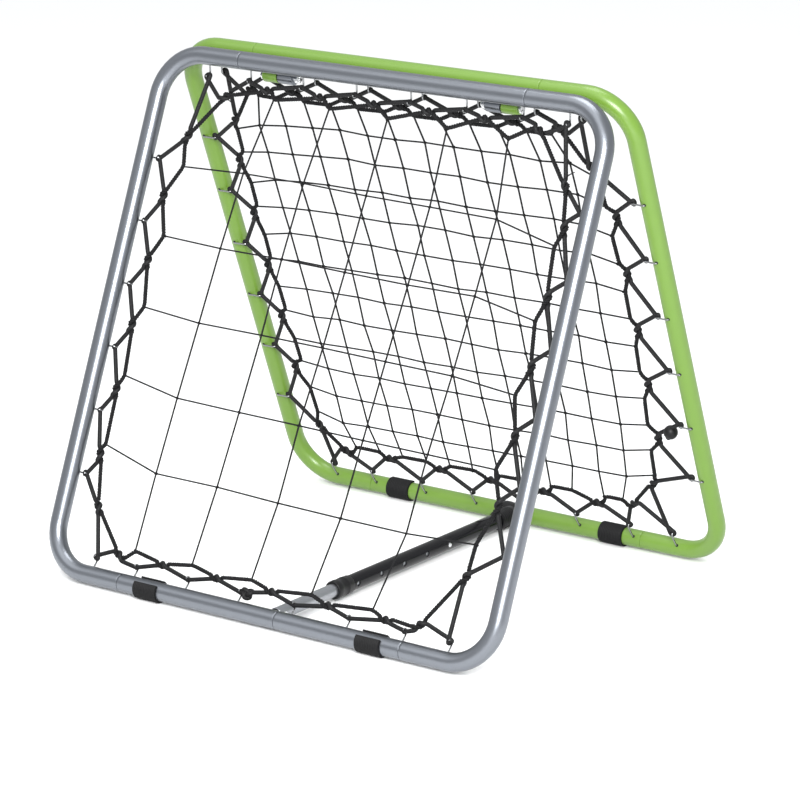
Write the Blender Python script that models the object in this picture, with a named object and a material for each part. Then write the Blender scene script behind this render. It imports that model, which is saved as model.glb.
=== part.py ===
"""Pitch back rebounder: two netted tube frames hinged along their top rails, held apart by a
telescopic strut with five settings. Metres, +Z up, +X to the right of the front (silver) frame.

Each frame is laid out flat, with u across, v up its slant from the bottom rail's centre line and
w square to it, towards the other frame. The frames turn about the hinge axis, and each has an
empty there, so every piece of a frame is a child of that empty.
"""

import math

import bmesh
import bpy
from mathutils import Matrix, Vector

for old in list(bpy.data.objects):
    bpy.data.objects.remove(old, do_unlink=True)

# Frame tubes
FRAME_WIDTH = 0.843  # outside
FRONT_LENGTH = 0.816  # bottom rail centre to top rail centre, along the slant
REAR_RISE = 0.009  # the rear frame is this much longer, so its top rail stands higher
TUBE = 0.028
TUBE_WALL = 0.0012
BEND_RADIUS = 0.070  # of the tube's centre line
SIDE_LEG = 0.1455  # corner to seam, along the rails
CENTRE_SEAM = 0.036  # where the two halves of a bottom rail meet
SEAM_GAP = 0.0004
SPIGOT_LENGTH = 0.035  # swaged end that slides into the next tube
SPIGOT_FIT = 0.0005
TUBE_SIDES = 16
BEND_STEPS = 5

# Stance
REST_HALF_ANGLE = math.radians(22.0)
HINGE_BELOW_FRONT_RAIL = 0.0125
HINGE_STANDOFF = 0.0268  # from a frame's own plane to the hinge axis

# Hinges
HINGE_SPREAD = 0.205  # from the middle to the joint between the two knuckles
KNUCKLE_LENGTH = 0.0272
KNUCKLE_RADIUS = 0.0105
WEB_THICKNESS = 0.006
WASHER_THICKNESS = 0.0012
HINGE_GAP = 0.0003
BOLT_RADIUS = 0.004
BOLT_FIT = 0.0004
BOLT_HEAD_RADIUS = 0.0075
BOLT_HEAD_LENGTH = 0.0055
NUT_LENGTH = 0.008
WELD_GAP = 0.0003

# Feet
SOLE_DEPTH = 0.017  # rail centre to the ground
FOOT_SPREAD = 0.207
FOOT_LENGTH = 0.044
FOOT_FIT = 0.0003
FOOT_OPENING = math.radians(66)
FRONT_FOOT_TURN = math.radians(8)  # the slit, from straight up towards the outside
REAR_FOOT_TURN = math.radians(50)
FOOT_STEPS = 12

# Net hooks
SIDE_HOOKS = 6
HOOKS_FROM_ENDS = 0.158  # outermost side hooks to the rails' centres, on average
RAIL_HOOKS = (0.050, 0.150, 0.250, 0.330)  # from the middle, both ways
HOOK_WIRE = 0.0026
HOOK_LIFT = 0.0026  # clear space between the cord and the wire over it
FRONT_HOOKS = (0.150, 0.162, 0.0265)  # lowest on the left, on the right, and reach on the rails
REAR_HOOKS = (0.163, 0.155, 0.0335)
SIDE_CORD_REACH = 0.0185  # tube centre to elastic cord, on the side tubes
SIDE_HOOK_LEAN = 0.0  # of a hook's shank, from the tube's inner face towards the net
RAIL_HOOK_LEAN = math.radians(50)
CORD_CLEARANCE = 0.0005

# Nets and cords
NET_DEPTH = 0.011  # of the net's plane, from the tubes' centre plane
NET_CORD = 0.0018
BORDER_RADIUS = 0.0034
BUNGEE_RADIUS = 0.0027
FRONT_BORDER = (0.363, 0.039, 0.038)  # half width, and its distance from the bottom and top rails
REAR_BORDER = (0.350, 0.067, 0.060)
BORDER_CHAMFER = (0.055, 0.075)  # across and up
FRONT_MESH = 5  # cords each way inside the border
REAR_MESH = 12
MESH_MARGIN = 1.2  # how many pitches the outermost cords leave beside them, both sides together
KNOT_RADIUS = 0.007
TOGGLE_RADIUS = 0.0105
KNOT_AT = 0.26  # share of its stretch of cord, from the hook to the border
TOGGLE_AT = 0.6

# Strut
STRUT_X = 0.019
OUTER_RADIUS = 0.0125
OUTER_WALL = 0.0012
SLIDING_FIT = 0.0008  # room for the pivots' uneven distances from the hinge, see the record
INNER_WALL = 0.0015
PIN_INSET = 0.024  # front rail centre to the strut's front pin
PIN_RISE = 0.001
PIN_RADIUS = 0.003
PIN_FIT = 0.0004
PIN_HEAD_RADIUS = 0.0052
PIN_HEAD_LENGTH = 0.002
TONGUE_THICKNESS = 0.006
TONGUE_HEIGHT = 0.011
INNER_TUBE_START = -0.0078  # along the strut, from the front pin
BUTTON_FROM_REAR = 0.2045  # button hole in use, from the rear rail's centre
HOLE_PITCH = 0.060
HOLE_COUNT = 5
HOLE_RADIUS = 0.0043
INNER_TUBE_END = 0.028  # past the button
MOUTH_BEFORE_HOLE = 0.048  # outer tube's mouth, before the first hole
COLLAR_LENGTH = 0.040
COLLAR_RADIUS = 0.0145
COLLAR_LIP = 0.003
BUTTON_RADIUS = 0.0037
BUTTON_PROUD = 0.0022  # out of the outer tube
BUTTON_FLANGE = 0.0050
SPRING_THICKNESS = 0.0008
SPRING_WIDTH = 0.009
SPRING_LENGTH = 0.034
SPRING_OPENING = 0.0070  # between its two arms
CLIP_LENGTH = 0.050
CLIP_FIT = 0.0006
CLIP_OPENING = math.radians(95)
SOCKET_RADIUS = 0.0160
SOCKET_START = 0.0560  # from the rear rail's centre
SOCKET_END = 0.0145
SOCKET_RIBS = 7
RIB_DEPTH = 0.0007

HOOK_PITCH = (FRONT_LENGTH - 2 * HOOKS_FROM_ENDS) / (SIDE_HOOKS - 1)
RAIL_X = (FRAME_WIDTH - TUBE) / 2
TUBE_RADIUS = TUBE / 2
LEG = FRONT_LENGTH - HINGE_BELOW_FRONT_RAIL  # bottom rail to hinge, along either frame
AXIS_Z = SOLE_DEPTH + LEG * math.cos(REST_HALF_ANGLE) - HINGE_STANDOFF * math.sin(REST_HALF_ANGLE)
RAIL_Y = LEG * math.sin(REST_HALF_ANGLE) + HINGE_STANDOFF * math.cos(REST_HALF_ANGLE)
INNER_RADIUS = OUTER_RADIUS - OUTER_WALL - SLIDING_FIT

SIDEWAYS = Vector((1, 0, 0))
ALONG = Vector((0, 1, 0))
UP = Vector((0, 0, 1))


def material(name, colour, roughness, metallic=0.0):
    made = bpy.data.materials.new(name)
    made.use_nodes = True
    shader = made.node_tree.nodes["Principled BSDF"]
    shader.inputs["Base Color"].default_value = (*colour, 1)
    shader.inputs["Roughness"].default_value = roughness
    shader.inputs["Metallic"].default_value = metallic
    return made


SILVER = ("silver paint", (0.36, 0.37, 0.40), 0.35, 0.6)
GREEN = ("green paint", (0.28, 0.58, 0.12), 0.35, 0.0)
BLACK_PAINT = ("black paint", (0.012, 0.012, 0.015), 0.25, 0.0)
BLACK_PLASTIC = ("black plastic", (0.02, 0.02, 0.022), 0.5, 0.0)
RUBBER = ("black rubber", (0.018, 0.018, 0.018), 0.8, 0.0)
CORD = ("black cord", (0.015, 0.015, 0.016), 0.9, 0.0)
ZINC = ("zinc plate", (0.62, 0.62, 0.60), 0.3, 1.0)


class Frame:
    """One netted frame: where its points are, and the empty that its pieces hang from."""

    def __init__(self, name, side, length, paint, hooks, border, mesh):
        self.name, self.side, self.length, self.paint = name, side, length, paint
        self.left_hook, self.right_hook, self.reach = hooks
        self.border, self.mesh = border, mesh
        self.pivot = bpy.data.objects.new(f"{name}_frame_pivot", None)
        bpy.context.scene.collection.objects.link(self.pivot)
        self.pivot.location = (0, 0, AXIS_Z)
        self.pivot.rotation_euler.x = side * REST_HALF_ANGLE

    def at(self, u, v, w=0.0):
        return Vector((u, self.side * (HINGE_STANDOFF - w), v - LEG))

    def direction(self, u, v, w):
        return Vector((u, -self.side * w, v))


def add_object(name, bm, finish, parent=None):
    bmesh.ops.recalc_face_normals(bm, faces=bm.faces)
    mesh = bpy.data.meshes.new(name)
    bm.to_mesh(mesh)
    bm.free()
    obj = bpy.data.objects.new(name, mesh)
    bpy.context.scene.collection.objects.link(obj)
    obj.parent = parent
    mesh.materials.append(material(f"{name} {finish[0]}", *finish[1:]))
    mesh.shade_smooth()
    mesh.set_sharp_from_angle(angle=math.radians(40))
    return obj


def helper(name, bm, parent=None):
    """A shape that a Boolean uses and that isn't a piece itself."""
    obj = add_object(name, bm, ("helper", (1, 1, 1), 0.5), parent)
    obj.hide_render = True
    obj.display_type = "WIRE"
    return obj


def combine(obj, other, operation):
    modifier = obj.modifiers.new(f"{operation} {other.name}", "BOOLEAN")
    modifier.operation = operation
    modifier.object = other


def ring(bm, centre, along, radius, sides, start):
    """A circle of corners round centre, square to along, with the first one towards start."""
    normal = along.normalized()
    first = (start - normal * start.dot(normal)).normalized()
    second = normal.cross(first)
    turns = [math.tau * number / sides for number in range(sides)]
    return [
        bm.verts.new(centre + (first * math.cos(turn) + second * math.sin(turn)) * radius)
        for turn in turns
    ]


def skin(bm, rings, closed):
    """Joins a row of rings into a surface; closed joins the last to the first, as on a pipe."""
    pairs = list(zip(rings, rings[1:]))
    if closed:
        pairs.append((rings[-1], rings[0]))
    for one, other in pairs:
        for number in range(len(one)):
            after = (number + 1) % len(one)
            bm.faces.new((one[number], one[after], other[after], other[number]))
    if not closed:
        for end in (rings[0], rings[-1]):
            bm.faces.new(end)


def cylinder(bm, start, end, radius, sides=TUBE_SIDES, facing=UP):
    along = end - start
    skin(bm, [ring(bm, p, along, radius, sides, facing) for p in (start, end)], closed=False)


def block(bm, centre, across, up, size):
    """A box of the given size along across, up and their normal."""
    x, z = across.normalized(), up.normalized()
    turn = Matrix((x, z.cross(x), z)).transposed().to_4x4()
    bmesh.ops.create_cube(
        bm, size=1, matrix=Matrix.Translation(centre) @ turn @ Matrix.Diagonal((*size, 1))
    )


def extrude_outline(bm, points, by):
    face = bm.faces.new([bm.verts.new(p) for p in points])
    made = bmesh.ops.extrude_face_region(bm, geom=[face])["geom"]
    bmesh.ops.translate(bm, verts=[v for v in made if isinstance(v, bmesh.types.BMVert)], vec=by)
    return face


# Tubes


def pipe(bm, stations, facing):
    """A hollow tube through (centre, direction, outer radius) stations."""
    outside = [ring(bm, p, d, r, TUBE_SIDES, facing) for p, d, r in stations]
    inside = [ring(bm, p, d, r - TUBE_WALL, TUBE_SIDES, facing) for p, d, r in reversed(stations)]
    skin(bm, outside + inside, closed=True)


def side_tube_route(frame, hand):
    """Centres and directions of a side tube: a short leg, a bend, the upright, a bend, a leg."""
    top = frame.length
    leg_end = RAIL_X - SIDE_LEG
    route = [((leg_end, 0.0), (1.0, 0.0))]
    for centre_v, first in ((BEND_RADIUS, -90), (top - BEND_RADIUS, 0)):
        for step in range(BEND_STEPS + 1):
            turn = math.radians(first + 90 * step / BEND_STEPS)
            u = RAIL_X - BEND_RADIUS + BEND_RADIUS * math.cos(turn)
            v = centre_v + BEND_RADIUS * math.sin(turn)
            route.append(((u, v), (-math.sin(turn), math.cos(turn))))
    route.append(((leg_end, top), (-1.0, 0.0)))
    return [
        (frame.at(hand * u, v), frame.direction(hand * du, dv, 0)) for (u, v), (du, dv) in route
    ]


def add_side_tube(frame, hand, label):
    bm = bmesh.new()
    stations = [(p, d, TUBE_RADIUS) for p, d in side_tube_route(frame, hand)]
    pipe(bm, stations, frame.direction(0, 0, 1))
    tube = add_object(f"{frame.name}_{label}_side_tube", bm, frame.paint, frame.pivot)
    seam = RAIL_X - SIDE_LEG
    add_hooks(frame, tube, lambda u, v: hand * u > seam)


def add_rail(frame, name, v, start, end, spigots):
    """A straight tube along X, with a swaged spigot at the ends that have one."""
    narrow = TUBE_RADIUS - TUBE_WALL - SPIGOT_FIT
    stations = [(start + SEAM_GAP / 2, TUBE_RADIUS), (end - SEAM_GAP / 2, TUBE_RADIUS)]
    if spigots[0]:
        stations = [(start - SPIGOT_LENGTH, narrow), (start + SEAM_GAP / 2, narrow)] + stations
    if spigots[1]:
        stations += [(end - SEAM_GAP / 2, narrow), (end + SPIGOT_LENGTH, narrow)]
    bm = bmesh.new()
    pipe(bm, [(frame.at(u, v), SIDEWAYS, r) for u, r in stations], frame.direction(0, 0, 1))
    rail = add_object(name, bm, frame.paint, frame.pivot)
    add_hooks(frame, rail, lambda u, foot_v: start < u < end and foot_v == v)


# Net hooks, each set by the elastic cord's bend in it


def hook_ring(frame):
    """Each hook's (foot, cord) as (u, v), counter-clockwise from the right side's lowest one."""
    left = [frame.left_hook + number * HOOK_PITCH for number in range(SIDE_HOOKS)]
    right = [frame.right_hook + number * HOOK_PITCH for number in range(SIDE_HOOKS)]
    places = sorted(sign * u for u in RAIL_HOOKS for sign in (-1, 1))
    reach = RAIL_X - SIDE_CORD_REACH
    top = frame.length
    ring_of = [((RAIL_X, v), (reach, v)) for v in right]
    ring_of += [((u, top), (u, top - frame.reach)) for u in reversed(places)]
    ring_of += [((-RAIL_X, v), (-reach, v)) for v in reversed(left)]
    ring_of += [((u, 0.0), (u, frame.reach)) for u in places]
    return ring_of


def bungee_route(frame):
    """Hook, border, hook, border, all the way round, with the cord just clear of the border."""
    hooks = [cord for _, cord in hook_ring(frame)]
    half, low, top_gap = frame.border
    high = frame.length - top_gap
    off = BORDER_RADIUS + BUNGEE_RADIUS + CORD_CLEARANCE
    route = []
    for here, there in zip(hooks, hooks[1:] + hooks[:1]):
        u, v = (here[0] + there[0]) / 2, (here[1] + there[1]) / 2
        outside = [abs(place[0]) > half for place in (here, there)]
        if all(outside):
            u = math.copysign(half + off, u)
        elif any(outside):  # past the border's cut corner
            u = math.copysign(half + off, u)
            rise = BORDER_CHAMFER[1] - off * 0.4
            v = low + rise if v < frame.length / 2 else high - rise
        else:
            v = low - off if v < frame.length / 2 else high + off
        route += [here, (u, v)]
    return route


def add_hooks(frame, tube, belongs):
    """Bent wires from the tube's wall, over the elastic cord and down inside its bend."""
    bm = bmesh.new()
    over = NET_DEPTH + BUNGEE_RADIUS + HOOK_LIFT
    radius = HOOK_WIRE / 2
    route = [Vector(place) for place in bungee_route(frame)]
    for number, (foot, _) in enumerate(hook_ring(frame)):
        if not belongs(*foot):
            continue
        before, cord, after = (route[2 * number - 1], route[2 * number], route[2 * number + 1])
        one, other = (before - cord).normalized(), (after - cord).normalized()
        half_bend = one.angle(other) / 2
        inset = (BUNGEE_RADIUS + radius + CORD_CLEARANCE) / math.sin(half_bend)
        tip = cord + (one + other).normalized() * inset
        foot = Vector(foot)
        lean = SIDE_HOOK_LEAN if foot.y == cord.y else RAIL_HOOK_LEAN
        inside = (TUBE_RADIUS - 3 * TUBE_WALL) * math.cos(lean)
        out = (cord - foot).normalized() * math.tan(lean)
        shank = foot + out * (over - radius)
        points = [
            frame.at(*(foot + out * inside), inside),
            frame.at(*shank, over - radius),
            frame.at(*shank.lerp(cord, 0.1), over),
            frame.at(*cord, over),
            frame.at(*tip, over),
            frame.at(*tip, NET_DEPTH - BUNGEE_RADIUS),
        ]
        ways = [points[1] - points[0], points[2] - points[0], points[3] - points[2]]
        ways += [points[4] - points[2], points[5] - points[3], points[5] - points[4]]
        across = Vector((foot.y - cord.y, cord.x - foot.x))
        sideways = frame.direction(*across, 0)
        skin(bm, [ring(bm, p, w, radius, 4, sideways) for p, w in zip(points, ways)], closed=False)
    combine(tube, helper(f"{tube.name}_hooks", bm, frame.pivot), "UNION")


# Nets and cords


def border_corners(frame):
    """The border cord's corners, counter-clockwise from the lower right, with cut corners."""
    half, low, top_gap = frame.border
    high = frame.length - top_gap
    across, up = BORDER_CHAMFER
    right = [(half - across, low), (half, low + up), (half, high - up), (half - across, high)]
    return right + [(-u, v) for u, v in reversed(right)]


def add_cord(name, points, radius, cyclic, parent):
    data = bpy.data.curves.new(name, "CURVE")
    data.dimensions = "3D"
    data.bevel_depth = radius
    data.bevel_resolution = 2
    data.use_fill_caps = not cyclic
    spline = data.splines.new("POLY")
    spline.points.add(len(points) - 1)
    for spot, point in zip(spline.points, points):
        spot.co = (*point, 1)
    spline.use_cyclic_u = cyclic
    obj = bpy.data.objects.new(name, data)
    bpy.context.scene.collection.objects.link(obj)
    obj.parent = parent
    data.materials.append(material(f"{name} {CORD[0]}", *CORD[1:]))
    return obj


def add_border(frame):
    points = [frame.at(u, v, NET_DEPTH) for u, v in border_corners(frame)]
    add_cord(f"{frame.name}_net_border", points, BORDER_RADIUS, True, frame.pivot)


def net_reach(half, chamfer, other_half, other_chamfer, place):
    """How far a net cord at place runs from the middle before it meets the border cord."""
    off = BORDER_RADIUS + CORD_CLEARANCE
    cut = 1 - (other_half - abs(place)) / other_chamfer
    if cut <= 0:
        return half - off
    return half - cut * chamfer - off * math.hypot(chamfer, other_chamfer) / other_chamfer


def add_net(frame):
    """A flat lattice of cords that ends just inside the border cord."""
    half, low, top_gap = frame.border
    middle = (low + frame.length - top_gap) / 2
    tall = (frame.length - top_gap - low) / 2
    count = frame.mesh
    pitch = 2 * min(half, tall) / (count + MESH_MARGIN)
    across, up = BORDER_CHAMFER
    lines = [(number - (count - 1) / 2) * pitch for number in range(count)]
    edges = [place + sign * NET_CORD / 2 for place in lines for sign in (-1, 1)]
    last = len(edges) + 1
    bm = bmesh.new()
    corners = {}
    for column in range(last + 1):
        for row in range(last + 1):
            if column in (0, last) and row in (0, last):
                continue
            u = edges[column - 1] if 0 < column < last else 0.0
            v = edges[row - 1] if 0 < row < last else 0.0
            if column in (0, last):
                u = math.copysign(net_reach(half, across, tall, up, v), column - 1)
            if row in (0, last):
                v = math.copysign(net_reach(tall, up, half, across, u), row - 1)
            place = frame.at(u, middle + v, NET_DEPTH - NET_CORD / 2)
            corners[column, row] = bm.verts.new(place)
    for column in range(last):
        for row in range(last):
            if column % 2 or row % 2:  # odd gaps are a cord's own width
                around = ((column, row), (column + 1, row), (column + 1, row + 1), (column, row + 1))
                bm.faces.new([corners[spot] for spot in around])
    made = bmesh.ops.extrude_face_region(bm, geom=bm.faces[:], use_keep_orig=True)["geom"]
    lifted = [vert for vert in made if isinstance(vert, bmesh.types.BMVert)]
    bmesh.ops.translate(bm, verts=lifted, vec=frame.direction(0, 0, NET_CORD))
    return add_object(f"{frame.name}_net", bm, CORD, frame.pivot)


def add_stopper(frame, name, place, radius):
    """The round knot or toggle that joins the elastic cord's two ends."""
    bm = bmesh.new()
    bmesh.ops.create_icosphere(
        bm, subdivisions=2, radius=radius, matrix=Matrix.Translation(frame.at(*place, NET_DEPTH))
    )
    add_object(name, bm, CORD, frame.pivot)


def add_bungee(frame, name, stretch, share, radius):
    """The elastic cord, cut where its stopper sits: share of the way along one stretch."""
    route = bungee_route(frame)
    start, end = Vector(route[stretch]), Vector(route[(stretch + 1) % len(route)])
    place = start.lerp(end, share)
    way = (end - start).normalized() * (radius + CORD_CLEARANCE)
    rest = route[stretch + 1 :] + route[: stretch + 1]
    points = [tuple(place + way), *rest, tuple(place - way)]
    add_cord(
        f"{frame.name}_bungee",
        [frame.at(u, v, NET_DEPTH) for u, v in points],
        BUNGEE_RADIUS,
        False,
        frame.pivot,
    )
    add_stopper(frame, name, tuple(place), radius)


# Feet


def clip_outline(frame, inner, outer, middle, opening, steps):
    """A C round a rail's centre, open at the angle middle, measured from up towards outside.

    The outer side is a polygon with one flat straight down at rest.
    """
    facet = 2 * math.pi / steps
    corner = outer / math.cos(facet / 2)
    first, last = middle + opening / 2, middle + 2 * math.pi - opening / 2
    flats = [math.pi + facet * (number + 0.5) for number in range(-steps, steps)]
    turns = [first, *[turn for turn in flats if first < turn < last], last]

    def point(radius, turn):
        world = turn + REST_HALF_ANGLE  # the frame leans this much, away from its outside
        return frame.at(0, radius * math.cos(world), -radius * math.sin(world))

    def flat_radius(turn):
        nearest = round((turn - math.pi) / facet) * facet + math.pi
        return corner * math.cos(facet / 2) / math.cos(turn - nearest)

    outside = [point(flat_radius(turn), turn) for turn in turns]
    inside = [point(inner / math.cos(facet / 2), turn) for turn in reversed(turns)]
    return outside + inside


def add_foot(frame, hand, label, turn):
    outline = clip_outline(
        frame, TUBE_RADIUS + FOOT_FIT, SOLE_DEPTH, turn, FOOT_OPENING, FOOT_STEPS
    )
    shift = Vector((hand * FOOT_SPREAD - FOOT_LENGTH / 2, 0, 0))
    bm = bmesh.new()
    extrude_outline(bm, [p + shift for p in outline], Vector((FOOT_LENGTH, 0, 0)))
    add_object(f"{frame.name}_foot_{label}", bm, RUBBER, frame.pivot)


# Hinges


def add_knuckle(frame, label, low, high):
    """A barrel on the hinge axis and a web up to its frame's top rail."""
    rail = frame.at(0, frame.length)
    length, middle = high - low, (low + high) / 2
    name = f"hinge_{label}_{frame.name}_knuckle"
    bm = bmesh.new()
    cylinder(bm, Vector((low, 0, 0)), Vector((high, 0, 0)), KNUCKLE_RADIUS)
    knuckle = add_object(name, bm, frame.paint, frame.pivot)
    web = bmesh.new()
    up = rail.normalized()
    centre = Vector((middle, 0, 0)) + up * rail.length / 2
    block(web, centre, Vector((1, 0, 0)), up, (length - 0.002, WEB_THICKNESS, rail.length))
    combine(knuckle, helper(f"{name}_web", web, frame.pivot), "UNION")
    clear = bmesh.new()
    beyond = Vector((length, 0, 0))
    start, end = rail + Vector((low, 0, 0)) - beyond, rail + Vector((high, 0, 0)) + beyond
    cylinder(clear, start, end, TUBE_RADIUS + WELD_GAP, facing=frame.direction(0, 0, 1))
    combine(knuckle, helper(f"{name}_rail_cut", clear, frame.pivot), "DIFFERENCE")
    bore = bmesh.new()
    cylinder(
        bore,
        Vector((low - 0.01, 0, 0)),
        Vector((high + 0.01, 0, 0)),
        BOLT_RADIUS + BOLT_FIT,
        facing=frame.direction(0, 0, 1),
    )
    combine(knuckle, helper(f"{name}_bore", bore, frame.pivot), "DIFFERENCE")


def washer(name, x, radius, parent):
    bm = bmesh.new()
    ends = [SIDEWAYS * (x + sign * WASHER_THICKNESS / 2) for sign in (-1, 1)]
    bore = BOLT_RADIUS + BOLT_FIT
    outside = [ring(bm, p, SIDEWAYS, radius, TUBE_SIDES, UP) for p in ends]
    inside = [ring(bm, p, SIDEWAYS, bore, TUBE_SIDES, UP) for p in reversed(ends)]
    skin(bm, outside + inside, closed=True)
    add_object(name, bm, BLACK_PLASTIC, parent)


def add_hinge(front, rear, hand, label):
    """Rear knuckle outboard, front knuckle inboard, a washer between, and a bolt through them."""
    joint = hand * HINGE_SPREAD
    half_joint = WASHER_THICKNESS / 2 + HINGE_GAP
    spans = {}
    for frame, way in ((rear, hand), (front, -hand)):
        ends = (joint + way * half_joint, joint + way * (half_joint + KNUCKLE_LENGTH))
        add_knuckle(frame, label, min(ends), max(ends))
        spans[frame.name] = ends
    washer(f"hinge_{label}_washer", joint, KNUCKLE_RADIUS - 0.0005, front.pivot)
    head = spans["rear"][1] + hand * HINGE_GAP
    tail = spans["front"][1] - hand * HINGE_GAP
    shank_end = tail - hand * (NUT_LENGTH + 0.003)
    bm = bmesh.new()
    steps = (
        (head + hand * BOLT_HEAD_LENGTH, BOLT_HEAD_RADIUS),
        (head, BOLT_HEAD_RADIUS),
        (head, BOLT_RADIUS),
        (shank_end, BOLT_RADIUS),
    )
    rings = [ring(bm, SIDEWAYS * x, SIDEWAYS, radius, 12, UP) for x, radius in steps]
    skin(bm, rings, closed=False)
    add_object(f"hinge_{label}_bolt", bm, ZINC, front.pivot)
    bm = bmesh.new()
    ends = [SIDEWAYS * x for x in (tail, tail - hand * NUT_LENGTH)]
    outside = [ring(bm, p, SIDEWAYS, BOLT_HEAD_RADIUS, 6, UP) for p in ends]
    thread = BOLT_RADIUS + BOLT_FIT + 0.0008
    bore = [ring(bm, p, SIDEWAYS, thread, 6, UP) for p in reversed(ends)]
    skin(bm, outside + bore, closed=True)
    add_object(f"hinge_{label}_nut", bm, ZINC, front.pivot)


# Strut. Along it, t runs from the front pin towards the rear rail.


class Strut:
    """The line from the front pin to the rear rail's centre, and an empty at each end of it."""

    def __init__(self):
        self.front = Vector((STRUT_X, -RAIL_Y + PIN_INSET, SOLE_DEPTH + PIN_RISE))
        self.rear = Vector((STRUT_X, RAIL_Y, SOLE_DEPTH))
        line = self.rear - self.front
        self.length = line.length
        slope = math.atan2(line.z, line.y)
        self.inner_pivot = self.empty("strut_inner_pivot", self.front, slope)
        self.outer_pivot = self.empty("strut_outer_pivot", self.rear, slope)
        self.button = self.length - BUTTON_FROM_REAR

    def empty(self, name, place, slope):
        made = bpy.data.objects.new(name, None)
        bpy.context.scene.collection.objects.link(made)
        made.location = place
        made.rotation_euler.x = slope
        return made


def straight_pipe(bm, start, end, radius, wall, sides):
    ends = (Vector((0, start, 0)), Vector((0, end, 0)))
    outside = [ring(bm, p, ALONG, radius, sides, SIDEWAYS) for p in ends]
    inside = [ring(bm, p, ALONG, radius - wall, sides, SIDEWAYS) for p in reversed(ends)]
    skin(bm, outside + inside, closed=True)


def cross_hole(obj, places, radius, start, end, parent):
    """Holes across a strut tube, along X from start to end, at each place along it."""
    bm = bmesh.new()
    for place in places:
        cylinder(bm, Vector((start, place, 0)), Vector((end, place, 0)), radius, 12, UP)
    combine(obj, helper(f"{obj.name}_holes", bm, parent), "DIFFERENCE")


def add_inner_tube(strut):
    bm = bmesh.new()
    end = strut.button + INNER_TUBE_END
    straight_pipe(bm, INNER_TUBE_START, end, INNER_RADIUS, INNER_WALL, 16)
    tube = add_object("strut_inner_tube", bm, SILVER, strut.inner_pivot)
    wide = INNER_RADIUS * 2
    holes = bmesh.new()
    pin_hole = PIN_RADIUS + PIN_FIT
    cylinder(holes, Vector((-wide, 0, 0)), Vector((wide, 0, 0)), pin_hole, 12, UP)
    button = Vector((0, strut.button, 0))
    cylinder(holes, button, button + SIDEWAYS * wide, HOLE_RADIUS, 12, UP)
    combine(tube, helper("strut_inner_tube_holes", holes, strut.inner_pivot), "DIFFERENCE")


def add_button(strut):
    """The snap button, pressed out of the end of the folded spring that lies in the inner tube."""
    flange = INNER_RADIUS - INNER_WALL - 0.0022
    tip = OUTER_RADIUS + BUTTON_PROUD
    steps = (
        (flange - 0.0015, BUTTON_FLANGE),
        (flange, BUTTON_FLANGE),
        (flange, BUTTON_RADIUS),
        (tip - 0.0016, BUTTON_RADIUS),
        (tip - 0.0005, BUTTON_RADIUS * 0.78),
        (tip, BUTTON_RADIUS * 0.4),
    )
    button = bmesh.new()
    rings = [
        ring(button, Vector((x, strut.button, 0)), SIDEWAYS, radius, 12, UP) for x, radius in steps
    ]
    skin(button, rings, closed=False)
    front = flange - 0.001
    back = front - SPRING_OPENING
    fold, tail = strut.button - SPRING_LENGTH, strut.button + 0.0065
    thick = SPRING_THICKNESS
    outline = (
        (front, tail),
        (front, fold),
        (back, fold),
        (back, tail),
        (back + thick, tail),
        (back + thick, fold + thick),
        (front - thick, fold + thick),
        (front - thick, tail),
    )
    low = -UP * SPRING_WIDTH / 2
    leaf = bmesh.new()
    extrude_outline(leaf, [Vector((x, y, 0)) + low for x, y in outline], UP * SPRING_WIDTH)
    clip = add_object("strut_snap_button", leaf, ZINC, strut.inner_pivot)
    combine(clip, helper("strut_snap_button_head", button, strut.inner_pivot), "UNION")


def add_front_joint(strut, front):
    """A tongue welded to the front rail, and the pin that the inner tube turns on."""
    pin = strut.front
    rail = Vector((STRUT_X, -RAIL_Y, SOLE_DEPTH))
    bm = bmesh.new()
    tip = Vector((0, TONGUE_HEIGHT / 2 + 0.002, 0))
    middle = (rail + pin + tip) / 2
    long = (pin + tip - rail).length
    block(bm, middle, SIDEWAYS, UP, (TONGUE_THICKNESS, long, TONGUE_HEIGHT))
    tongue = add_object("strut_front_tongue", bm, SILVER)
    cut = bmesh.new()
    reach = SIDEWAYS * 0.05
    lean = Matrix.Rotation(-REST_HALF_ANGLE, 3, "X") @ Vector((0, 1, 0))
    cylinder(cut, rail - reach, rail + reach, TUBE_RADIUS + WELD_GAP, facing=lean)
    combine(tongue, helper("strut_front_tongue_rail_cut", cut), "DIFFERENCE")
    hole = bmesh.new()
    cylinder(hole, pin - reach, pin + reach, PIN_RADIUS + PIN_FIT, 12)
    combine(tongue, helper("strut_front_tongue_hole", hole), "DIFFERENCE")
    hand_over(tongue, front.pivot)
    head = INNER_RADIUS + HINGE_GAP
    steps = (
        (head + PIN_HEAD_LENGTH, PIN_HEAD_RADIUS),
        (head, PIN_HEAD_RADIUS),
        (head, PIN_RADIUS),
        (-head - 0.004, PIN_RADIUS),
    )
    bm = bmesh.new()
    rings = [ring(bm, pin + SIDEWAYS * x, SIDEWAYS, radius, 12, UP) for x, radius in steps]
    skin(bm, rings, closed=False)
    hand_over(add_object("strut_front_pin", bm, ZINC), front.pivot)
    bm = bmesh.new()
    ends = [pin - SIDEWAYS * x for x in (head, head + 0.0015)]
    outside = [ring(bm, p, SIDEWAYS, PIN_HEAD_RADIUS, 12, UP) for p in ends]
    bore = [ring(bm, p, SIDEWAYS, PIN_RADIUS + PIN_FIT, 12, UP) for p in reversed(ends)]
    skin(bm, outside + bore, closed=True)
    hand_over(add_object("strut_front_pin_clip", bm, ZINC), front.pivot)


def hand_over(obj, pivot):
    """Gives a piece that was laid out in world space to an empty, where it stands."""
    obj.parent = pivot
    obj.matrix_parent_inverse = (
        Matrix.Translation(pivot.location) @ Matrix.Rotation(pivot.rotation_euler.x, 4, "X")
    ).inverted()


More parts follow.
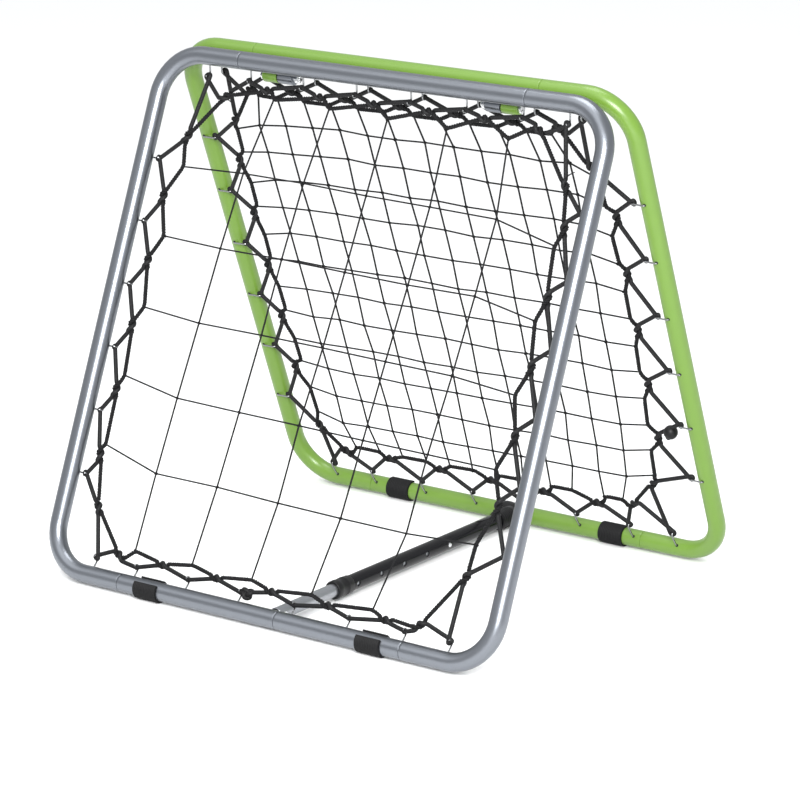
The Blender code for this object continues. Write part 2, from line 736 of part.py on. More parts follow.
def add_outer_tube(strut):
    """Along it, distances run back from the rear rail's centre, so they are negative."""
    first_hole = -BUTTON_FROM_REAR - HOLE_PITCH * (HOLE_COUNT - 1)
    mouth = first_hole - MOUTH_BEFORE_HOLE
    bm = bmesh.new()
    straight_pipe(bm, mouth, -SOCKET_END - 0.006, OUTER_RADIUS, OUTER_WALL, 16)
    tube = add_object("strut_outer_tube", bm, BLACK_PAINT, strut.outer_pivot)
    holes = [first_hole + HOLE_PITCH * number for number in range(HOLE_COUNT)]
    cross_hole(tube, holes, HOLE_RADIUS, 0, OUTER_RADIUS * 2, strut.outer_pivot)
    add_collar(strut, mouth)
    return mouth


def add_collar(strut, mouth):
    """A moulded sleeve pushed over the outer tube's mouth, with a lip round the inner tube."""
    grip = OUTER_RADIUS + 0.0003
    lip = INNER_RADIUS + SLIDING_FIT + 0.0001
    front = mouth - COLLAR_LIP
    outside = (
        (front, COLLAR_RADIUS - 0.0012),
        (front + 0.0015, COLLAR_RADIUS),
        (front + COLLAR_LENGTH * 0.55, COLLAR_RADIUS),
        (front + COLLAR_LENGTH, COLLAR_RADIUS - 0.0009),
    )
    inside = (
        (front + COLLAR_LENGTH, grip),
        (mouth - 0.0003, grip),
        (mouth - 0.0003, lip),
        (front, lip),
    )
    bm = bmesh.new()
    rings = [
        ring(bm, Vector((0, t, 0)), ALONG, radius, 16, SIDEWAYS) for t, radius in outside + inside
    ]
    skin(bm, rings, closed=True)
    add_object("strut_collar", bm, BLACK_PLASTIC, strut.outer_pivot)


def add_rear_clip(strut):
    """A moulded C that snaps round the rear rail and turns on it, with a ribbed socket."""
    inner = (TUBE_RADIUS + CLIP_FIT) / math.cos(math.pi / FOOT_STEPS / 2)
    outer = SOLE_DEPTH - 0.0004
    steps = 14
    first = math.pi / 2 + CLIP_OPENING / 2  # from up towards the strut, so it opens to the rear
    turns = [first + (2 * math.pi - CLIP_OPENING) * n / steps for n in range(steps + 1)]
    turns = [turn - math.pi for turn in turns]
    outline = [Vector((0, -math.sin(t) * outer, math.cos(t) * outer)) for t in turns]
    outline += [Vector((0, -math.sin(t) * inner, math.cos(t) * inner)) for t in reversed(turns)]
    bm = bmesh.new()
    shift = SIDEWAYS * -CLIP_LENGTH / 2
    extrude_outline(bm, [p + shift for p in outline], SIDEWAYS * CLIP_LENGTH)
    clip = add_object("strut_rear_clip", bm, BLACK_PLASTIC, strut.outer_pivot)
    socket = bmesh.new()
    pitch = (SOCKET_START - SOCKET_END - 0.008) / SOCKET_RIBS
    rings = [ring(socket, Vector((0, -SOCKET_END, 0)), ALONG, SOCKET_RADIUS, 16, SIDEWAYS)]
    for number in range(SOCKET_RIBS):
        near = -SOCKET_END - 0.006 - number * pitch
        for t, radius in (
            (near, SOCKET_RADIUS),
            (near - pitch * 0.2, SOCKET_RADIUS - RIB_DEPTH),
            (near - pitch * 0.5, SOCKET_RADIUS - RIB_DEPTH),
            (near - pitch * 0.7, SOCKET_RADIUS),
        ):
            rings.append(ring(socket, Vector((0, t, 0)), ALONG, radius, 16, SIDEWAYS))
    rings.append(ring(socket, Vector((0, -SOCKET_START, 0)), ALONG, SOCKET_RADIUS, 16, SIDEWAYS))
    skin(socket, rings, closed=False)
    combine(clip, helper("strut_rear_clip_socket", socket, strut.outer_pivot), "UNION")
    bore = bmesh.new()
    seat = -SOCKET_END - 0.006 + 0.0003
    start = Vector((0, -SOCKET_START - 0.01, 0))
    cylinder(bore, start, Vector((0, seat, 0)), OUTER_RADIUS + 0.0003, 16, SIDEWAYS)
    rail = SIDEWAYS * CLIP_LENGTH
    combine(clip, helper("strut_rear_clip_bore", bore, strut.outer_pivot), "DIFFERENCE")
    round_rail = bmesh.new()
    cylinder(round_rail, -rail, rail, inner, 28, UP)
    combine(clip, helper("strut_rear_clip_rail", round_rail, strut.outer_pivot), "DIFFERENCE")


def build():
    front = Frame("front", -1, FRONT_LENGTH, SILVER, FRONT_HOOKS, FRONT_BORDER, FRONT_MESH)
    rear_length = FRONT_LENGTH + REAR_RISE
    rear = Frame("rear", 1, rear_length, GREEN, REAR_HOOKS, REAR_BORDER, REAR_MESH)
    seam = RAIL_X - SIDE_LEG
    for frame in (front, rear):
        for hand, label in ((-1, "left"), (1, "right")):
            add_side_tube(frame, hand, label)
        add_rail(frame, f"{frame.name}_top_rail", frame.length, -seam, seam, (1, 1))
        add_rail(frame, f"{frame.name}_bottom_rail_left", 0.0, -seam, CENTRE_SEAM, (1, 0))
        add_rail(frame, f"{frame.name}_bottom_rail_right", 0.0, CENTRE_SEAM, seam, (1, 1))
        add_net(frame)
        add_border(frame)
    for hand, label in ((-1, "left"), (1, "right")):
        add_foot(front, hand, label, FRONT_FOOT_TURN)
        add_foot(rear, hand, label, REAR_FOOT_TURN)
        add_hinge(front, rear, hand, label)
    left_of_middle = 2 * SIDE_HOOKS + 3 * len(RAIL_HOOKS) - 1  # the hook, counted as hook_ring does
    add_bungee(rear, "rear_bungee_toggle", 0, TOGGLE_AT, TOGGLE_RADIUS)
    add_bungee(front, "front_bungee_knot", 2 * left_of_middle, KNOT_AT, KNOT_RADIUS)
    strut = Strut()
    add_inner_tube(strut)
    add_button(strut)
    add_front_joint(strut, front)
    add_outer_tube(strut)
    add_rear_clip(strut)


build()
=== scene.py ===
"""How the pitch back rebounder looks: painted steel frames, laced nets, hinges, feet and strut."""

import math
import random
from itertools import product

import bmesh
import bpy
from mathutils import Matrix, Vector


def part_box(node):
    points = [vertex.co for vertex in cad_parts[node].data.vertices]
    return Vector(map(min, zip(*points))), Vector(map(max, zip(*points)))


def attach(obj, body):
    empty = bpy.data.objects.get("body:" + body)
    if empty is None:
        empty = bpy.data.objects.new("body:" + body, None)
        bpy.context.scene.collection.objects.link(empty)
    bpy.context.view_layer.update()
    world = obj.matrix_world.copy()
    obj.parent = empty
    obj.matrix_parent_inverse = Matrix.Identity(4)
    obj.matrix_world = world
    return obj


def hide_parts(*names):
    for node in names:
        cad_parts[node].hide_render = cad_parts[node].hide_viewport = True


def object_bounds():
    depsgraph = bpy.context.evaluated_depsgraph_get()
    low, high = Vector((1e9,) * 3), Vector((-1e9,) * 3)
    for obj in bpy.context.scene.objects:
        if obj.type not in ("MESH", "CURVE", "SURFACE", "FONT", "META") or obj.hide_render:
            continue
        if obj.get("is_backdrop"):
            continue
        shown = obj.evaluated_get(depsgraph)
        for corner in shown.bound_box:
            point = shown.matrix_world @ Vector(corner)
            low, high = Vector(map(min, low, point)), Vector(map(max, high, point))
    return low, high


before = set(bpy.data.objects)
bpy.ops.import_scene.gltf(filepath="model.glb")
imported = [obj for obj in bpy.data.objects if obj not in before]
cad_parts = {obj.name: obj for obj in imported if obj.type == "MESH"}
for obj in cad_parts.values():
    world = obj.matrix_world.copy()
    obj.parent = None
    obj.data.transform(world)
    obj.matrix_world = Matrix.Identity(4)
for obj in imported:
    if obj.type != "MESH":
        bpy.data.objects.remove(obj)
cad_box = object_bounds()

# Frame tubes
# Two rounded oblongs of painted steel tube, each bent in two halves and closed with straight rails.
# They lean on each other like a sandwich board and turn about the hinge bolts under the top rails.

TUBE_RADIUS = 0.014
BEND_RADIUS = 0.070
SEAM_FROM_MIDDLE = 0.262  # where the bent sides meet the straight rails
BOTTOM_SEAM = 0.036
SEAM_GAP = 0.0004
TUBE_SIDES = 40
END_LOOP = 0.003  # how far from a tube's end its first loop lies
BEND_STEPS = 12
LEAN = math.radians(22)
HINGE_TO_PLANE = 0.0268  # from the hinge axis to a frame's own plane
HINGE_TO_FOOT = 0.8035  # from the hinge axis down to the bottom rail's centre
FRAME_HEIGHT = {-1: 0.816, 1: 0.825}  # -1 is the front frame, +1 the rear one
BODY = {-1: "front_frame", 1: "rear_frame"}
NAME = {-1: "front", 1: "rear"}

low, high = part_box("hinge_left_bolt")
AXIS_Z = (low.z + high.z) / 2
low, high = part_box("front_left_side_tube")
RAIL_X = -low.x - TUBE_RADIUS


def on_frame(side, u, v, w=0.0):
    """A place on a frame: u across, v up its slant, w from its plane towards the other frame."""
    y, z = side * (HINGE_TO_PLANE - w), v - HINGE_TO_FOOT
    sine, cosine = math.sin(side * LEAN), math.cos(LEAN)
    return Vector((u, y * cosine - z * sine, AXIS_Z + y * sine + z * cosine))


def way_on_frame(side, u, v, w=0.0):
    return on_frame(side, u, v, w) - on_frame(side, 0, 0, 0)


def edges_in(geometry):
    return [item for item in geometry if isinstance(item, bmesh.types.BMEdge) and item.is_boundary]


def corners_in(geometry):
    return [item for item in geometry if isinstance(item, bmesh.types.BMVert)]


def edges_at(corners):
    return list({edge for corner in corners for edge in corner.link_edges})


def bevel_edges(bm, edges, width):
    bmesh.ops.bevel(
        bm, geom=edges, offset=width, segments=2, profile=0.5, affect="EDGES", material=-1
    )


def open_rim(bm, place, way, radius, sides=TUBE_SIDES):
    """The round rim that a tube is drawn out from."""
    turn = way.to_track_quat("Z", "X").to_matrix().to_4x4()
    made = bmesh.ops.create_circle(
        bm, segments=sides, radius=radius, matrix=Matrix.Translation(place) @ turn
    )["verts"]
    return edges_at(made)


def draw_out(bm, rim, by):
    """Draws a tube out, with a loop near each end so that the length between shades evenly."""
    near = by.normalized() * END_LOOP
    for step in (near, by - near * 2, near):
        made = bmesh.ops.extrude_edge_only(bm, edges=rim)["geom"]
        bmesh.ops.translate(bm, verts=corners_in(made), vec=step)
        rim = edges_in(made)
    return rim


def bend_round(bm, rim, centre, axis, angle):
    made = bmesh.ops.spin(
        bm, geom=rim, cent=centre, axis=axis, angle=angle, steps=BEND_STEPS, use_duplicate=False
    )["geom_last"]
    return [item for item in made if isinstance(item, bmesh.types.BMEdge)]


def finished(name, bm, material, body, slot, nodes=(), sharp=40):
    """Turns a bmesh into a piece that rides on its body."""
    bmesh.ops.remove_doubles(bm, verts=bm.verts, dist=1e-6)
    bmesh.ops.recalc_face_normals(bm, faces=bm.faces)
    mesh = bpy.data.meshes.new(name)
    bm.to_mesh(mesh)
    bm.free()
    mesh.materials.append(material)
    mesh.shade_smooth()
    mesh.set_sharp_from_angle(angle=math.radians(sharp))
    piece = bpy.data.objects.new(name, mesh)
    bpy.context.scene.collection.objects.link(piece)
    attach(piece, body)
    if nodes:
        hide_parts(*nodes)
    return piece


def close_ends(bm, bevel=0.0007):
    """Fills a tube's open ends and rounds their rims."""
    rims = [edge for edge in bm.edges if edge.is_boundary]
    bmesh.ops.holes_fill(bm, edges=rims, sides=0)
    bevel_edges(bm, rims, bevel)


def surface(name, colour, roughness, metallic=0.0, grain=600.0, depth=0.00003, spread=0.12):
    """A finish whose colour, gloss and surface vary a little over a fine grain."""
    made = bpy.data.materials.new(name)
    made.use_nodes = True
    nodes, links = made.node_tree.nodes, made.node_tree.links
    shader = nodes["Principled BSDF"]
    shader.inputs["Metallic"].default_value = metallic
    place = nodes.new("ShaderNodeTexCoord")
    noise = nodes.new("ShaderNodeTexNoise")
    noise.inputs["Scale"].default_value = grain
    noise.inputs["Detail"].default_value = 3.0
    links.new(place.outputs["Object"], noise.inputs["Vector"])
    broad = nodes.new("ShaderNodeTexNoise")
    broad.inputs["Scale"].default_value = 14.0
    broad.inputs["Detail"].default_value = 4.0
    links.new(place.outputs["Object"], broad.inputs["Vector"])
    gloss = nodes.new("ShaderNodeMapRange")
    gloss.inputs["To Min"].default_value = roughness * (1 - spread)
    gloss.inputs["To Max"].default_value = roughness * (1 + spread)
    links.new(broad.outputs["Fac"], gloss.inputs["Value"])
    links.new(gloss.outputs["Result"], shader.inputs["Roughness"])
    tint = nodes.new("ShaderNodeMix")
    tint.data_type = "RGBA"
    tint.inputs["A"].default_value = (*(part * (1 - spread) for part in colour), 1)
    tint.inputs["B"].default_value = (*(min(1.0, part * (1 + spread)) for part in colour), 1)
    links.new(noise.outputs["Fac"], tint.inputs["Factor"])
    links.new(tint.outputs["Result"], shader.inputs["Base Color"])
    bump = nodes.new("ShaderNodeBump")
    bump.inputs["Strength"].default_value = 0.5
    bump.inputs["Distance"].default_value = depth
    links.new(noise.outputs["Fac"], bump.inputs["Height"])
    links.new(bump.outputs["Normal"], shader.inputs["Normal"])
    return made


def adjust(material, socket, value):
    material.node_tree.nodes["Principled BSDF"].inputs[socket].default_value = value


silver = surface("silver metallic paint", (0.200, 0.213, 0.236), 0.33, 1.0, grain=1400, depth=2e-5)
green = surface("lime green paint", (0.112, 0.215, 0.024), 0.36, grain=900, depth=2e-5, spread=0.05)
adjust(green, "Coat Weight", 0.2)
adjust(green, "Coat Roughness", 0.15)
PAINT = {-1: silver, 1: green}
PAINT_SLOT = {-1: "silver_paint", 1: "green_paint"}


def paint_piece(side, name, bm, node):
    close_ends(bm)
    return finished(name, bm, PAINT[side], BODY[side], PAINT_SLOT[side], [node])


for side in (-1, 1):
    top = FRAME_HEIGHT[side]
    for hand, label in ((-1, "left"), (1, "right")):
        bm = bmesh.new()
        sideways = Vector((hand, 0, 0))
        start = on_frame(side, hand * (SEAM_FROM_MIDDLE + SEAM_GAP / 2), 0)
        straight = RAIL_X - BEND_RADIUS - SEAM_FROM_MIDDLE - SEAM_GAP / 2
        rim = draw_out(bm, open_rim(bm, start, sideways, TUBE_RADIUS), sideways * straight)
        up = way_on_frame(side, 0, 1)
        turn = sideways.cross(up)
        bend = on_frame(side, hand * (RAIL_X - BEND_RADIUS), BEND_RADIUS)
        rim = bend_round(bm, rim, bend, turn, math.pi / 2)
        rim = draw_out(bm, rim, up * (top - 2 * BEND_RADIUS))
        bend = on_frame(side, hand * (RAIL_X - BEND_RADIUS), top - BEND_RADIUS)
        rim = bend_round(bm, rim, bend, turn, math.pi / 2)
        draw_out(bm, rim, -sideways * straight)
        node = f"{NAME[side]}_{label}_side_tube"
        paint_piece(side, f"{node}_bent", bm, node)
    rails = (
        ("bottom_rail_left", 0.0, -SEAM_FROM_MIDDLE, BOTTOM_SEAM),
        ("bottom_rail_right", 0.0, BOTTOM_SEAM, SEAM_FROM_MIDDLE),
        ("top_rail", top, -SEAM_FROM_MIDDLE, SEAM_FROM_MIDDLE),
    )
    for label, v, left, right in rails:
        bm = bmesh.new()
        start = on_frame(side, left + SEAM_GAP / 2, v)
        rim = open_rim(bm, start, Vector((1, 0, 0)), TUBE_RADIUS)
        draw_out(bm, rim, Vector((right - left - SEAM_GAP, 0, 0)))
        node = f"{NAME[side]}_{label}"
        paint_piece(side, f"{node}_straight", bm, node)

# Net hooks
# Bent zinc-plated wires, one pushed into a drilled hole in the tube at each bend of the elastic cord.
# Each comes out of the tube, passes over the cord and curls back through the bend.

HOOK_WIRE = 0.0014
HOOK_PITCH = 0.100
SIDE_HOOKS = 6
RAIL_HOOKS = (0.050, 0.150, 0.250, 0.330)
NET_DEPTH = 0.011  # of the nets, from the frames' planes
ELASTIC_RADIUS = 0.0034
CORD_FROM_SIDE = 0.0185
CORD_FROM_RAIL = {-1: 0.0265, 1: 0.0335}
LOWEST_LEFT = {-1: 0.150, 1: 0.163}
LOWEST_RIGHT = {-1: 0.162, 1: 0.155}
RAIL_LEAN = math.radians(50)
CURL = ELASTIC_RADIUS + HOOK_WIRE + 0.0002


def rounded(points, spacing, closed=False):
    """A smooth line through the points, in steps of about this spacing."""
    line, count = [], len(points)
    for number in range(count if closed else count - 1):
        here, there = points[number], points[(number + 1) % count]
        before = points[number - 1] if number or closed else here * 2 - there
        beyond = number + 2
        after = points[beyond % count] if closed or beyond < count else there * 2 - here
        step = math.sqrt((there - here).length)
        step_in = math.sqrt((here - before).length)
        step_out = math.sqrt((after - there).length)
        chord = there - here
        leave = chord + step * ((here - before) / step_in - (there - before) / (step_in + step))
        arrive = chord + step * ((after - there) / step_out - (after - here) / (step + step_out))
        cuts = max(1, round(chord.length / spacing))
        for cut in range(cuts):
            t = cut / cuts
            cubic = (leave + arrive - chord * 2) * t + chord * 3 - leave * 2 - arrive
            line.append(here + (cubic * t + leave) * t)
    return line if closed else line + [points[-1]]


def taut(points, bend, closed=False, spacing=None):
    """Straight runs between the points, rounded at each point over about this length."""
    line, count = [], len(points)
    for number, here in enumerate(points):
        if not closed and number in (0, count - 1):
            line.append(here)
            continue
        before, after = points[number - 1], points[(number + 1) % count]
        start = here + (before - here) * min(0.45, bend / (before - here).length)
        end = here + (after - here) * min(0.45, bend / (after - here).length)
        for cut in range(5):
            t = cut / 4
            line.append(start * (1 - t) ** 2 + here * 2 * t * (1 - t) + end * t**2)
    if not spacing:
        return line
    fine = []
    for here, there in zip(line, line[1:] + line[:1] if closed else line[1:]):
        cuts = max(1, round((there - here).length / spacing))
        fine += [here.lerp(there, cut / cuts) for cut in range(cuts)]
    return fine if closed else fine + [line[-1]]


def frames_along(line, closed=False):
    """(place, direction along, direction across, distance) at each point, with no twist."""
    made, distance, across = [], 0.0, None
    count = len(line)
    for number, place in enumerate(line):
        before = line[number - 1] if number or closed else place
        after = line[(number + 1) % count] if closed or number + 1 < count else place
        along = (after - before).normalized()
        across = along.orthogonal() if across is None else across
        across = (across - along * across.dot(along)).normalized()
        distance += (place - line[number - 1]).length if number else 0.0
        made.append((place, along, across, distance))
    if not closed:
        return made
    _, along, first, _ = made[0]
    across = (across - along * across.dot(along)).normalized()
    gap = math.atan2(along.dot(across.cross(first)), across.dot(first))
    whole = distance + (line[0] - line[-1]).length
    return [
        (place, along, Matrix.Rotation(gap * distance / whole, 3, along) @ across, distance)
        for place, along, across, distance in made
    ]


def add_cord(bm, line, radius, sides, closed=False, taper=None):
    """A round cord along a line. Its UV map runs in metres along it and in turns round it."""
    uv = bm.loops.layers.uv.verify()
    rings = []
    frames = frames_along(line, closed)
    for number, (place, along, across, distance) in enumerate(frames):
        other = along.cross(across)
        size = radius * (taper(number / (len(frames) - 1)) if taper else 1)
        turns = [math.tau * part / sides for part in range(sides)]
        corners = [
            bm.verts.new(place + (across * math.cos(turn) + other * math.sin(turn)) * size)
            for turn in turns
        ]
        rings.append((corners, distance))
    pairs = list(zip(rings, rings[1:]))
    if closed:
        final = rings[-1][1] + (line[0] - line[-1]).length
        pairs.append((rings[-1], (rings[0][0], final)))
    for (one, one_at), (other, other_at) in pairs:
        for part in range(sides):
            after = (part + 1) % sides
            face = bm.faces.new((one[part], one[after], other[after], other[part]))
            places = ((one_at, part), (one_at, part + 1), (other_at, part + 1), (other_at, part))
            for loop, (along_it, round_it) in zip(face.loops, places):
                loop[uv].uv = (along_it, round_it / sides)
    if not closed:
        bm.faces.new(rings[0][0][::-1])
        bm.faces.new(rings[-1][0])


def hook_places(side):
    """(tube centre, cord) as (u, v) of each hook, clockwise from the lowest on the left."""
    top, reach = FRAME_HEIGHT[side], RAIL_X - CORD_FROM_SIDE
    rail = sorted(sign * u for u in RAIL_HOOKS for sign in (-1, 1))
    rise = [number * HOOK_PITCH for number in range(SIDE_HOOKS)]
    off = CORD_FROM_RAIL[side]
    left = [((-RAIL_X, LOWEST_LEFT[side] + v), (-reach, LOWEST_LEFT[side] + v)) for v in rise]
    right = [((RAIL_X, LOWEST_RIGHT[side] + v), (reach, LOWEST_RIGHT[side] + v)) for v in rise]
    above = [((u, top), (u, top - off)) for u in rail]
    below = [((u, 0.0), (u, off)) for u in rail]
    return left + above + right[::-1] + below[::-1]


def bend_wire(side, tube_centre, cord):
    """The line of one hook, laid out as (distance from the tube's centre, w)."""
    start, end = Vector(tube_centre), Vector(cord)
    reach, way = (end - start).length, (end - start).normalized()
    lean = 0.0 if start.y == end.y else RAIL_LEAN
    out, over = math.sin(lean), math.cos(lean)
    route = [(TUBE_RADIUS * 0.8 * out, TUBE_RADIUS * 0.8 * over)]
    route += [((TUBE_RADIUS + rise) * out, (TUBE_RADIUS + rise) * over) for rise in (0.0004, 0.0016)]
    for turn in range(112, -75, -22):
        angle = math.radians(turn)
        route.append((reach + CURL * math.cos(angle), NET_DEPTH + CURL * math.sin(angle)))
    places = []
    for distance, w in route:
        u, v = start + way * distance
        places.append(on_frame(side, u, v, w))
    return places


zinc = surface("zinc plate", (0.74, 0.75, 0.76), 0.24, 1.0, grain=500, depth=2e-5, spread=0.15)
painted_hole_shade = surface("shadow in a drilled hole", (0.012, 0.012, 0.013), 0.8)

# Painted shade: the hooks' wire is a darker copy of the zinc plate above, standing in for the dark
# reflections that the hooks show.
shaded_hook_zinc = surface("zinc-plated wire darkened as painted shade", (0.24, 0.245, 0.25), 0.16, 1.0, spread=0.15)
for side in (-1, 1):
    wires, holes = bmesh.new(), bmesh.new()
    for tube_centre, cord in hook_places(side):
        line = bend_wire(side, tube_centre, cord)
        add_cord(wires, rounded(line, 0.0009), HOOK_WIRE, 10)
        outward = (line[1] - line[0]).normalized()
        turn = outward.to_track_quat("Z", "X").to_matrix().to_4x4()
        # Painted shade: a near-black disc on the tube at each hook stands in for the shade inside its
        # drilled hole.
        bmesh.ops.create_cone(
            holes,
            cap_ends=True,
            segments=16,
            radius1=0.0027,
            radius2=0.0025,
            depth=0.0012,
            matrix=Matrix.Translation(line[1] - outward * 0.00085) @ turn,
        )
    finished(f"{NAME[side]}_net_hooks", wires, shaded_hook_zinc, BODY[side], "zinc_plate", sharp=60)
    finished(f"{NAME[side]}_hook_hole_shade", holes, painted_hole_shade, BODY[side], PAINT_SLOT[side])

# Hinges
# Short lengths of thick tube, one welded under each top rail on a web, that meet end to end.
# A bolt runs through each pair, with its head outside, a nut inside and a plastic washer between.

KNUCKLE_RADIUS = 0.0105
WEB = 0.006
BORE = 0.0044
HEX_RADIUS = 0.0075
HEAD_DEPTH = 0.0055
UNDER_HEAD = 0.0052  # where the shank starts, just inside the head
SHANK_RADIUS = 0.004
SHANK_CORE = 0.0005  # leaves a hair-thin line open along the shank's middle


def turned(bm, profile, centre, axis, start, steps=40):
    """A solid of revolution: profile is a closed outline of (distance along, radius)."""
    along, out = axis.normalized(), start.normalized()
    corners = [bm.verts.new(centre + along * far + out * radius) for far, radius in profile]
    loop = [bm.edges.new((one, other)) for one, other in zip(corners, corners[1:] + corners[:1])]
    bmesh.ops.spin(
        bm,
        geom=loop + corners,
        cent=centre,
        axis=along,
        angle=math.tau,
        steps=steps,
        use_merge=True,
        use_duplicate=False,
    )


def add_slab(bm, middle, across, up, size, bevel=0.0006):
    x, z = across.normalized(), up.normalized()
    turn = Matrix((x, z.cross(x), z)).transposed().to_4x4()
    made = bmesh.ops.create_cube(
        bm, size=1, matrix=Matrix.Translation(middle) @ turn @ Matrix.Diagonal((*size, 1))
    )["verts"]
    bevel_edges(bm, edges_at(made), bevel)


def add_hexagon(bm, middle, depth, bevel):
    """A hexagonal bolt head or nut, centred on the hinge's line."""
    made = bmesh.ops.create_cone(
        bm,
        cap_ends=True,
        segments=6,
        radius1=HEX_RADIUS,
        radius2=HEX_RADIUS,
        depth=depth,
        matrix=Matrix.Translation(middle) @ Matrix.Rotation(math.pi / 2, 4, "Y"),
    )["verts"]
    bevel_edges(bm, edges_at(made), bevel)


sideways = Vector((1, 0, 0))
for side in (-1, 1):
    rail = on_frame(side, 0, FRAME_HEIGHT[side])
    axis_point = Vector((0, 0, AXIS_Z))
    up = (rail - axis_point).normalized()
    gap = (rail - axis_point).length
    for label in ("left", "right"):
        node = f"hinge_{label}_{NAME[side]}_knuckle"
        low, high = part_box(node)
        length = high.x - low.x
        middle = Vector(((low.x + high.x) / 2, 0, AXIS_Z))
        half = length / 2
        profile = (
            (-half, BORE),
            (half, BORE),
            (half, KNUCKLE_RADIUS - 0.0008),
            (half - 0.0003, KNUCKLE_RADIUS - 0.0002),
            (half - 0.0010, KNUCKLE_RADIUS),
            (0.0010 - half, KNUCKLE_RADIUS),
            (0.0003 - half, KNUCKLE_RADIUS - 0.0002),
            (-half, KNUCKLE_RADIUS - 0.0008),
        )
        bm = bmesh.new()
        turned(bm, profile, middle, sideways, up)
        web_low, web_high = KNUCKLE_RADIUS - 0.002, gap - TUBE_RADIUS + 0.001
        if web_high > web_low:
            web = middle + up * (web_low + web_high) / 2
            add_slab(bm, web, sideways, up, (length - 0.002, WEB, web_high - web_low))
        contact = middle + up * (gap - TUBE_RADIUS + 0.0006)
        square = sideways.cross(up)
        for way in (-1, 1):
            bead = [
                contact + square * way * (WEB / 2 + 0.0006) + sideways * half * share * 0.9
                for share in (-1, -0.6, -0.2, 0.2, 0.6, 1)
            ]
            add_cord(bm, rounded(bead, 0.002), 0.0017, 8)
        finished(f"{node}_welded", bm, PAINT[side], BODY[side], PAINT_SLOT[side], [node])

for hand, label in ((-1, "left"), (1, "right")):
    low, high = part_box(f"hinge_{label}_bolt")
    head_face = low.x if hand < 0 else high.x
    centre = Vector((head_face, 0, AXIS_Z))
    bm = bmesh.new()
    add_hexagon(bm, centre - sideways * hand * HEAD_DEPTH / 2, HEAD_DEPTH, 0.0005)
    tail = high.x if hand < 0 else low.x
    reach = abs(tail - head_face) - UNDER_HEAD
    shank = [(0, SHANK_CORE), (0, SHANK_RADIUS), (reach - 0.0008, SHANK_RADIUS)]
    shank += [(reach, SHANK_RADIUS - 0.0006), (reach, SHANK_CORE)]
    start = centre - sideways * hand * UNDER_HEAD
    turned(bm, shank, start, -sideways * hand, Vector((0, 0, 1)), 24)
    finished(f"hinge_{label}_bolt_hex", bm, zinc, "front_frame", "zinc_plate", [f"hinge_{label}_bolt"])
    low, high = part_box(f"hinge_{label}_nut")
    bm = bmesh.new()
    add_hexagon(bm, Vector(((low.x + high.x) / 2, 0, AXIS_Z)), high.x - low.x, 0.0006)
    finished(f"hinge_{label}_nut_hex", bm, zinc, "front_frame", "zinc_plate", [f"hinge_{label}_nut"])

# Feet
# Black rubber clips, moulded with fine ribs and pushed over the bottom rails through a slit.

FOOT_RADIUS = 0.017
FOOT_BORE = 0.0143
FOOT_SLIT = math.radians(66)
SLIT_TURN = {-1: math.radians(8), 1: math.radians(50)}  # from straight up, towards the outside
FOOT_RIBS = 15
RIB_DEPTH = 0.0007

rubber = surface("black rubber", (0.007, 0.007, 0.0075), 0.62, grain=1500, depth=5e-5, spread=0.2)
adjust(rubber, "Specular IOR Level", 0.16)


def ribbed_outline(low, high, inner, outer, ribs):
    """A sleeve's section as (along, radius), with shallow ribs over its outside."""
    pitch = (high - low) / ribs
    outside = [(high, outer - 2 * RIB_DEPTH)]
    for number in reversed(range(ribs)):
        start = low + number * pitch
        outside += [
            (start + pitch * 0.80, outer),
            (start + pitch * 0.35, outer),
            (start + pitch * 0.12, outer - RIB_DEPTH),
        ]
    return [(low, inner), (high, inner), *outside, (low, outer - 2 * RIB_DEPTH)]


def clip_round(bm, profile, centre, axis, start, angle, steps):
    """Spins a section part of the way round, and closes both of its ends."""
    along, out = axis.normalized(), start.normalized()
    corners = [bm.verts.new(centre + along * far + out * radius) for far, radius in profile]
    face = bm.faces.new(corners)
    bmesh.ops.spin(
        bm, geom=[face], cent=centre, axis=along, angle=angle, steps=steps, use_duplicate=False
    )


for side in (-1, 1):
    for label in ("left", "right"):
        node = f"{NAME[side]}_foot_{label}"
        low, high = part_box(node)
        centre = on_frame(side, (low.x + high.x) / 2, 0)
        half = (high.x - low.x) / 2
        turn = side * (SLIT_TURN[side] + FOOT_SLIT / 2)
        start = Matrix.Rotation(-turn, 3, "X") @ Vector((0, 0, 1))
        bm = bmesh.new()
        profile = ribbed_outline(-half, half, FOOT_BORE, FOOT_RADIUS, FOOT_RIBS)
        sweep = -side * (math.tau - FOOT_SLIT)
        clip_round(bm, profile, centre, sideways, start, sweep, 44)
        finished(f"{node}_ribbed", bm, rubber, BODY[side], "black_rubber", [node])

# Nets, borders and elastic cords
# Each net is knotted from thin cord and tied to a thick twisted border. One elastic cord laces the
# border to the hooks: at each hook it doubles back, and between hooks it takes a turn round the border.

BORDER_RADIUS = 0.0034
NET_CORD_RADIUS = {-1: 0.0014, 1: 0.0015}
KNOT_RADIUS = 0.0027
TURN_LENGTH = 0.024  # over which the elastic and the border turn once round each other
TURN_STEPS = 10
CLEAR_OF_TURN = 0.017  # the net is tied on no nearer than this to a turn of the elastic
STRAND_PITCH = 0.013
TAIL_START = {-1: Vector((0.346, 0.706)), 1: Vector((-0.331, 0.716))}  # the border's loose end
TAIL_REACH = {-1: Vector((0.016, 0.014)), 1: Vector((-0.013, 0.018))}
TAIL_RADIUS = 0.0017


def between(start, end, count):
    one, other = Vector(start), Vector(end)
    return [one.lerp(other, number / max(1, count - 1)) for number in range(count)]


